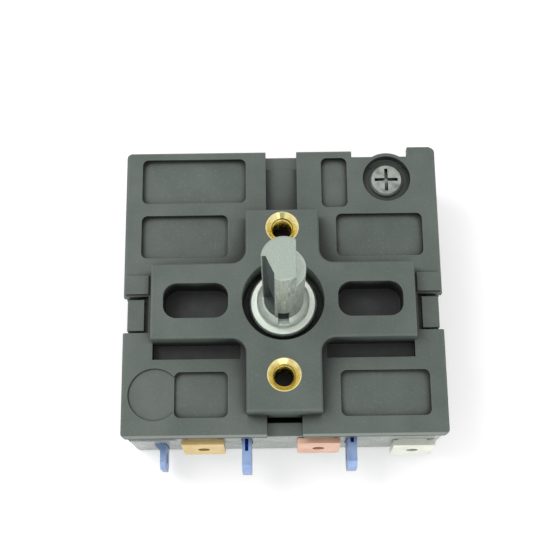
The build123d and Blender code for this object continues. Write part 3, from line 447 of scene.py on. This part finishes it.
@dataclass(frozen=True)
class MouldedNylon(Finish):
    """Glass-filled nylon, injection moulded: off-white, waxy, with faint fibres near the surface."""

    name: str = "nylon_glass_filled_natural"
    body: str = "#ddd9cc"
    fibre: str = "#c9c4b4"
    roughness: float = 0.45
    # Glass fibres, really 0.2 mm long and far thinner: drawn coarser, as faint flecks.
    fibre_mm: float = 0.3
    fibre_stretch: tuple[float, float, float] = (1.0, 0.2, 1.0)
    fibre_share: float = 0.6
    bump_mm: float = 0.005
    ior: float = 1.53

    def inputs(self, s: Nodes, here: bpy.types.NodeSocket) -> dict:
        """Draws short faint fibres and a soft sheen."""
        along = s.add("ShaderNodeMapping", {"Vector": here, "Scale": self.fibre_stretch})
        flecks = s.add(
            "ShaderNodeTexNoise", {"Vector": along, "Scale": 1.0 / (self.fibre_mm * MM), "Detail": 2.0}
        )
        span = (flecks, 0.5, 0.7, 0.0, self.fibre_share)
        fibres = s.add("ShaderNodeMapRange", dict(zip(RANGE, span)))
        mixed = s.add("ShaderNodeMix", {0: fibres, 6: self.body, 7: self.fibre}, data_type="RGBA")
        relief = {"Height": fibres, "Distance": self.bump_mm * MM, "Strength": 1.0}
        normal = s.add("ShaderNodeBump", relief)
        return {
            "Base Color": mixed.outputs[2],
            "Roughness": self.roughness,
            "IOR": self.ior,
            "Normal": normal,
        }


@dataclass(frozen=True)
class MicaSleeve(Finish):
    """Mica paper, pressed and wound: flaky, tan and silvery, with darker winding ridges."""

    name: str = "mica_paper_wound"
    body: str = "#b9ad8e"
    flake: str = "#d6cfb8"
    roughness: float = 0.5
    flake_mm: float = 0.6
    bump_mm: float = 0.02

    def inputs(self, s: Nodes, here: bpy.types.NodeSocket) -> dict:
        """Lays flat flakes over the tan ground."""
        cells = s.add("ShaderNodeTexVoronoi", {"Vector": here, "Scale": 1.0 / (self.flake_mm * MM)})
        span = (cells.outputs["Distance"], 0.0, 0.6, 0.0, 1.0)
        tone = s.add("ShaderNodeMapRange", dict(zip(RANGE, span)))
        mixed = s.add("ShaderNodeMix", {0: tone, 6: self.flake, 7: self.body}, data_type="RGBA")
        relief = {"Height": tone, "Distance": self.bump_mm * MM, "Strength": 1.0}
        normal = s.add("ShaderNodeBump", relief)
        return {"Base Color": mixed.outputs[2], "Roughness": self.roughness, "Normal": normal}


class Metal(Enum):
    """The sheet and bar metals of the switch, each with its finish."""

    INSERT_BRASS = TurnedMetal("brass_turned_insert", "#efe3a4", "#d2bb6c", 0.15)
    SCREW_ZINC = TurnedMetal("steel_zinc_plated_screw", "#a0a6a0", "#6d736e", 0.45)
    SPRING_STEEL = TurnedMetal("steel_spring_drawn", "#a3a6a8", "#7c7f80", 0.3)
    TAB_BRASS = RolledStrip("brass_rolled_tab", "#dfc892", "#c9a665", 0.45, tarnish_share=0.5)
    TAB_COPPER = RolledStrip("copper_rolled_tab", "#e6c0aa", "#cf9c82", 0.45, tarnish_share=0.5)
    TAB_TINNED = RolledStrip("brass_tin_plated_tab", "#eaece1", "#d6d9cc", 0.5)
    TAB_ZINC = RolledStrip("steel_zinc_plated_blue_tab", "#8da2c4", "#6f88b4", 0.4, fold_shade="#163a9c")
    BRONZE = RolledStrip("bronze_rolled_spring", "#b98a5c", "#94683f")
    SILVER = RolledStrip("silver_contact_cold_headed", "#e4e2dc", "#c4c0b4", 0.25)
    BIMETAL = RolledStrip("bimetal_rolled_strip", "#a5a19a", "#85807a")
    RIVET = RolledStrip("steel_nickel_plated_rivet", "#b5b5b2", "#8f8f8c", 0.25)


def surface(
    name: str,
    points: np.ndarray,
    material: bpy.types.Material,
    body: str = "case",
) -> bpy.types.Object:
    """Makes a smooth surface through a grid of points and lets it ride on a body.

    Args:
        name: The piece's name.
        points: An array of rows by columns by three, in metres; the faces look to the side from
            which the rows run up and the columns run to the right.
        material: Its finish.
        body: The body that carries it.

    Returns:
        The new object, at the origin and untransformed.
    """
    rows, columns = points.shape[:2]
    index = np.arange(rows * columns).reshape(rows, columns)
    quads = np.stack([index[:-1, :-1], index[:-1, 1:], index[1:, 1:], index[1:, :-1]], axis=-1)
    mesh = bpy.data.meshes.new(name)
    mesh.from_pydata(points.reshape(-1, 3), [], quads.reshape(-1, 4))
    mesh.polygons.foreach_set("use_smooth", np.ones(len(mesh.polygons), bool))
    mesh.materials.append(material)
    made = bpy.data.objects.new(name, mesh)
    bpy.context.scene.collection.objects.link(made)
    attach(made, body)
    return made


@dataclass
class InsertThreads:
    """The M4 threads cut in the two brass inserts."""

    insert_mm: tuple[float, float] = (-11.2, 11.2)
    root_mm: float = 1.66
    height_mm: float = 0.3
    pitch_mm: float = 0.7
    top_mm: float = -0.85
    bottom_mm: float = -6.35
    steps_a_turn: int = 56
    steps_a_pitch: int = 8
    flank_top: float = 1.13
    flank_fall: float = 2.5

    def grid(self, middle_mm: float) -> np.ndarray:
        """The thread's surface as one winding ribbon, a pitch tall, that climbs a pitch a turn.

        The radius is the root's less the height times a blunt triangle wave across the ribbon, and
        both ends of the helix fade into the bore over half a turn.

        Args:
            middle_mm: The Y of the insert's axis.

        Returns:
            The points, across the ribbon by along the helix.
        """
        turns = (self.top_mm - self.bottom_mm) / self.pitch_mm - 1.0
        along = np.linspace(0.0, turns, int(turns * self.steps_a_turn))[None, :]
        across = np.linspace(0.0, 1.0, self.steps_a_pitch + 1)[:, None]
        wave = np.clip(self.flank_top - self.flank_fall * np.abs(across - 0.5), 0.0, 1.0)
        fade = np.clip(2.0 * np.minimum(along, turns - along), 0.0, 1.0)
        radius = self.root_mm - self.height_mm * wave * fade
        angle = 2.0 * np.pi * along
        x = radius * np.cos(angle)
        y = middle_mm + radius * np.sin(angle)
        z = self.bottom_mm + self.pitch_mm * (along + across)
        return np.stack(np.broadcast_arrays(x, y, z), axis=-1) * MM

    def build(self, brass: bpy.types.Material) -> None:
        """Makes one thread in each insert, facing the bore's axis.

        Args:
            brass: The inserts' finish.
        """
        for name, middle in zip(("insert_thread_low", "insert_thread_high"), self.insert_mm):
            surface(name, self.grid(middle)[:, ::-1], brass)
        log.info("threads cut in both inserts")


@dataclass
class ReturnSpring:
    """The round-wire spring that lifts the shaft; it closes up as the shaft is pushed in."""

    coil_mm: float = 3.45
    wire_mm: float = 0.5
    low_mm: float = -12.2
    high_mm: float = -8.6
    play_mm: float = 0.02
    turns: float = 3.0
    travel_mm: float = 2.0
    steps: int = 240
    sides: int = 14

    def grid(self) -> np.ndarray:
        """A round profile carried along a helix whose first and last turn lie nearly flat.

        The climb follows a smooth step of the turn, so the coil starts and ends square to its axis.

        Returns:
            The points, around the wire by along the coil.
        """
        share = np.linspace(0.0, 1.0, self.steps)[None, :]
        step = share - np.sin(2.0 * np.pi * share) / (2.0 * np.pi)
        radius = self.wire_mm / 2 - self.play_mm
        low, high = self.low_mm + self.wire_mm / 2, self.high_mm - self.wire_mm / 2
        turn = 2.0 * np.pi * self.turns * share
        round_wire = np.linspace(0.0, 2.0 * np.pi, self.sides + 1)[:, None]
        reach = self.coil_mm + radius * np.cos(round_wire)
        z = low + (high - low) * step + radius * np.sin(round_wire)
        x, y = reach * np.cos(turn), reach * np.sin(turn)
        return np.stack(np.broadcast_arrays(x, y, z), axis=-1) * MM

    def build(self, steel: bpy.types.Material) -> None:
        """Makes the spring in place of its CAD solid, riding on the cam.

        Args:
            steel: The spring's finish.
        """
        made = surface("return_spring_coil", self.grid(), steel, "cam")
        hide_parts("return_spring")
        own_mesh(made)
        log.info("return spring wound")


@dataclass
class WallRibs:
    """The fine upright ribs moulded high on the wall, at the left of the terminals."""

    wall_mm: float = -19.4
    left_mm: float = -23.2
    right_mm: float = -15.9
    low_mm: float = -8.6
    high_mm: float = -5.75
    pitch_mm: float = 0.34
    depth_mm: float = 0.24
    sunk_mm: float = 0.02
    swell_middle: float = 0.5
    swell_reach: float = 0.9
    rows: int = 9
    steps_a_rib: int = 10

    def grid(self) -> np.ndarray:
        """A sheet in front of the wall that swells by a cut-off cosine wave at each rib.

        Returns:
            The points, from low to high by left to right; the sheet sinks into the wall at its rim.
        """
        ribs = round((self.right_mm - self.left_mm) / self.pitch_mm)
        across = np.linspace(0.0, ribs, ribs * self.steps_a_rib + 1)[None, :]
        rise = np.linspace(0.0, 1.0, self.rows)[:, None]
        wave = self.swell_middle - self.swell_reach * np.cos(2.0 * np.pi * across)
        swell = np.clip(wave, 0.0, 1.0)
        ends = np.clip((self.rows - 1) * np.minimum(rise, 1.0 - rise), 0.0, 1.0)
        x = self.left_mm + self.pitch_mm * across
        y = self.wall_mm + self.sunk_mm - (self.depth_mm + self.sunk_mm) * swell * ends
        z = self.low_mm + (self.high_mm - self.low_mm) * rise
        return np.stack(np.broadcast_arrays(x, y, z), axis=-1) * MM

    def build(self, plastic: bpy.types.Material) -> None:
        """Makes the ribbed sheet.

        Args:
            plastic: The base's finish.
        """
        surface("wall_ribs", self.grid(), plastic)
        log.info("ribs on the wall")


@dataclass
class CornerLug:
    """The rounded end of the raised corner beside the adjusting well."""

    right_mm: float = 24.01
    high_mm: float = 25.26
    corner_mm: float = 0.9
    reach_mm: float = 1.9
    face_mm: float = -3.48
    sunk_mm: float = 0.4
    under_mm: float = -5.01
    bevel_mm: float = 0.25
    steps: int = 24

    def grid(self) -> np.ndarray:
        """The end's outline carried down from a middle point over its bevel to its lower edge.

        The outline runs along the top edge, round a quarter circle and down the side. Each row is
        that outline drawn in towards a middle point by its own share, at its own level.

        Returns:
            The points, from low to high by along the outline.
        """
        turn = np.linspace(np.pi / 2, 0.0, self.steps)
        centre = np.array([self.right_mm - self.corner_mm, self.high_mm - self.corner_mm])
        arc = centre + self.corner_mm * np.stack([np.cos(turn), np.sin(turn)], axis=-1)
        start = np.array([[self.right_mm - self.reach_mm, self.high_mm]])
        end = np.array([[self.right_mm, self.high_mm - self.reach_mm]])
        outline = np.concatenate([start, arc, end])
        middle = np.array([self.right_mm - self.reach_mm, self.high_mm - self.reach_mm])
        inside = 1.0 - self.bevel_mm / self.reach_mm
        share = np.array([0.0, 1.0, 1.0, inside, inside / 2, 0.0])
        under, face = self.under_mm, self.face_mm
        level = np.array([under, under, face - self.bevel_mm, face, face, face - self.sunk_mm])
        rows = middle + share[:, None, None] * (outline - middle)
        z = np.broadcast_to(level[:, None, None], rows.shape[:2] + (1,))
        return np.concatenate([rows, z], axis=-1) * MM

    def build(self, plastic: bpy.types.Material) -> None:
        """Makes the corner's end.

        Args:
            plastic: The cover's finish.
        """
        made = surface("corner_lug_end", self.grid()[:, ::-1], plastic)
        made.data.polygons.foreach_set("use_smooth", np.zeros(len(made.data.polygons), bool))
        log.info("corner lug ended")


@dataclass
class Dressing:
    """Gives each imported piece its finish."""

    cover: MouldedPhenolic = MouldedPhenolic("phenolic_moulded_cover", 0.5, -19.4, -3.95)
    base: MouldedPhenolic = MouldedPhenolic("phenolic_moulded_base", 0.27, -19.38)
    zinc: CastZinc = field(default_factory=CastZinc)
    nylon: MouldedNylon = field(default_factory=MouldedNylon)
    mica: MicaSleeve = field(default_factory=MicaSleeve)

    def plan(self) -> list[tuple[Finish, tuple[str, ...]]]:
        """Each finish with the pieces that take it."""
        return [
            (self.cover, ("front_cover",)),
            (self.base, ("base",)),
            (self.zinc, ("shaft",)),
            (self.nylon, ("cam_wheel", "cam_follower")),
            (self.mica, ("heater_element",)),
            (Metal.INSERT_BRASS.value, ("threaded_inserts",)),
            (Metal.SCREW_ZINC.value, ("calibration_screw",)),
            (Metal.SPRING_STEEL.value, ("shaft_clip", "return_spring", "follower_pin")),
            (Metal.BIMETAL.value, ("bimetal_strip",)),
            (Metal.RIVET.value, ("bimetal_rivets", "terminal_rivets")),
            (Metal.BRONZE.value, ("snap_blade", "line_blade", "pilot_blade")),
            (
                Metal.SILVER.value,
                (
                    "moving_contact",
                    "fixed_contact",
                    "line_moving_contact",
                    "line_fixed_contact",
                    "pilot_moving_contact",
                    "pilot_fixed_contact",
                ),
            ),
            (Metal.TAB_TINNED.value, ("terminal_tinned", "blade_bracket")),
            (Metal.TAB_ZINC.value, ("terminal_left", "terminal_middle", "terminal_right")),
            (Metal.TAB_BRASS.value, ("terminal_brass",)),
            (Metal.TAB_COPPER.value, ("terminal_copper",)),
        ]

    def dress(self) -> dict[str, bpy.types.Material]:
        """Builds each finish once and puts it in its pieces' material slots.

        Returns:
            Node name to its finish.
        """
        painted_on = {}
        for finish, names in self.plan():
            material = finish.build()
            for name in names:
                painted_on[name] = material
                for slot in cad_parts[name].material_slots:
                    slot.material = material
            log.info("finish %s on %s", material.name, ", ".join(names))
        return painted_on


@dataclass
class Studio:
    """White floor and surround, a broad soft lamp above and behind, and a fainter one in front."""

    floor_colour: str = "#f4f4f4"
    floor_reach_m: float = 2.0
    floor_roughness: float = 0.9
    key_energy: float = 1.3
    key_size_m: float = 0.3
    key_from_mm: tuple[float, float, float] = (-360.0, 130.0, 600.0)
    fill_energy: float = 0.5
    fill_size_m: float = 0.4
    fill_from_mm: tuple[float, float, float] = (60.0, -520.0, 200.0)
    surround: float = 0.78
    backdrop_lift: float = 0.3

    def floor(self) -> bpy.types.Object:
        """A flat pale plane at the level of the switch's back.

        Returns:
            The floor object, marked as stage.
        """
        low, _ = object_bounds()
        reach = self.floor_reach_m
        corners = np.array([(-1, -1), (1, -1), (1, 1), (-1, 1)], float) * reach
        points = [(x, y, low[2]) for x, y in corners]
        mesh = bpy.data.meshes.new("floor")
        mesh.from_pydata(points, [], [(0, 1, 2, 3)])
        plane = bpy.data.objects.new("floor", mesh)
        bpy.context.scene.collection.objects.link(plane)
        paper = bpy.data.materials.new("paper_white_floor")
        s = Nodes(paper)
        inputs = {"Base Color": self.floor_colour, "Roughness": self.floor_roughness}
        shader = s.add("ShaderNodeBsdfPrincipled", inputs)
        glow = s.add("ShaderNodeEmission", {"Color": WHITE, "Strength": self.backdrop_lift})
        lift = s.add("ShaderNodeAddShader", {0: shader, 1: glow})
        seen = s.add("ShaderNodeMixShader", {"Fac": self.seen(s), 1: shader, 2: lift})
        s.add("ShaderNodeOutputMaterial", {"Surface": seen})
        mesh.materials.append(paper)
        plane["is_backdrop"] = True
        return plane

    def seen(self, s: Nodes) -> bpy.types.Node:
        """1 for what the camera sees, straight or in a reflection, and 0 for the light itself.

        Args:
            s: The nodes that it is for.

        Returns:
            The node whose first output says so.
        """
        ray = s.add("ShaderNodeLightPath")
        sight = {0: ray.outputs["Is Camera Ray"], 1: ray.outputs["Is Glossy Ray"]}
        return s.add("ShaderNodeMath", sight, operation="MAXIMUM")

    def surround_light(self) -> None:
        """A white world that lights evenly and shows white to the camera and in reflections."""
        world = bpy.data.worlds.new("studio_surround")
        bpy.context.scene.world = world
        s = Nodes(world)
        even, white = (
            s.add("ShaderNodeBackground", {"Color": WHITE, "Strength": strength})
            for strength in (self.surround, 1.0)
        )
        mix = s.add("ShaderNodeMixShader", {"Fac": self.seen(s), 1: even, 2: white})
        s.add("ShaderNodeOutputWorld", {"Surface": mix})

    def softbox(self, name: str, size_m: float, energy: float, from_mm: tuple) -> None:
        """A broad square lamp, aimed at the middle of the switch.

        Args:
            name: The lamp's name.
            size_m: The length of its side.
            energy: Its power in watts.
            from_mm: Where it hangs, from the frame's origin.
        """
        data = bpy.data.lights.new(name, "AREA")
        data.shape = "SQUARE"
        data.size = size_m
        data.energy = energy
        lamp = bpy.data.objects.new(name, data)
        place = Vector(from_mm) * MM
        aim = (-place).to_track_quat("-Z", "Y").to_matrix().to_4x4()
        lamp.matrix_world = Matrix.Translation(place) @ aim
        bpy.context.scene.collection.objects.link(lamp)

    def build(self) -> None:
        """Makes the floor, the surround and the lamps."""
        self.floor()
        self.surround_light()
        self.softbox("key_softbox", self.key_size_m, self.key_energy, self.key_from_mm)
        self.softbox("front_fill", self.fill_size_m, self.fill_energy, self.fill_from_mm)
        log.info("studio ready")


@dataclass
class PhotoCamera:
    """The camera where the photograph's was: nearly above, tipped and turned a little."""

    tilt_deg: float = 16.0
    roll_deg: float = -0.75
    distance_mm: float = 159.1
    focal_pixels: float = 1082.0
    aim_pixel: tuple[float, float] = (283.2, 299.2)
    sensor_mm: float = 36.0
    clip_start_m: float = 0.01

    def build(self) -> bpy.types.Object:
        """Points the camera so that the frame's origin falls on the aim pixel.

        Returns:
            The camera object, set as the scene's camera.
        """
        tilt, roll = math.radians(self.tilt_deg), math.radians(self.roll_deg)
        ahead = Vector((0.0, math.sin(tilt), -math.cos(tilt)))
        up = Vector((0.0, math.cos(tilt), math.sin(tilt)))
        right = ahead.cross(up)
        right_rolled = right * math.cos(roll) + up * math.sin(roll)
        up_rolled = up * math.cos(roll) - right * math.sin(roll)
        middle = PHOTO_PIXELS / 2
        off_x = (self.aim_pixel[0] - middle) / self.focal_pixels
        off_y = (middle - self.aim_pixel[1]) / self.focal_pixels
        ray = right_rolled * off_x + up_rolled * off_y + ahead
        data = bpy.data.cameras.new("photo_camera")
        data.sensor_width = self.sensor_mm
        data.lens = self.focal_pixels / PHOTO_PIXELS * self.sensor_mm
        data.clip_start = self.clip_start_m
        camera = bpy.data.objects.new("photo_camera", data)
        turn = Matrix((right_rolled, up_rolled, -ahead)).transposed().to_4x4()
        camera.matrix_world = Matrix.Translation(ray * (-self.distance_mm * MM)) @ turn
        bpy.context.scene.collection.objects.link(camera)
        bpy.context.scene.camera = camera
        log.info("camera lens %.1f mm at %.1f mm", data.lens, self.distance_mm)
        return camera


def main() -> None:
    """Builds the scene in order: camera, finishes, threads, spring, ribs, corner, studio."""
    logging.basicConfig(level=logging.INFO, format="%(name)s: %(message)s")
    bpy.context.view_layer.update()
    bpy.context.scene.view_settings.view_transform = "Standard"
    PhotoCamera().build()
    painted_on = Dressing().dress()
    InsertThreads().build(painted_on["threaded_inserts"])
    ReturnSpring().build(painted_on["return_spring"])
    WallRibs().build(painted_on["base"])
    CornerLug().build(painted_on["front_cover"])
    Studio().build()


if __name__ == "__main__":
    main()
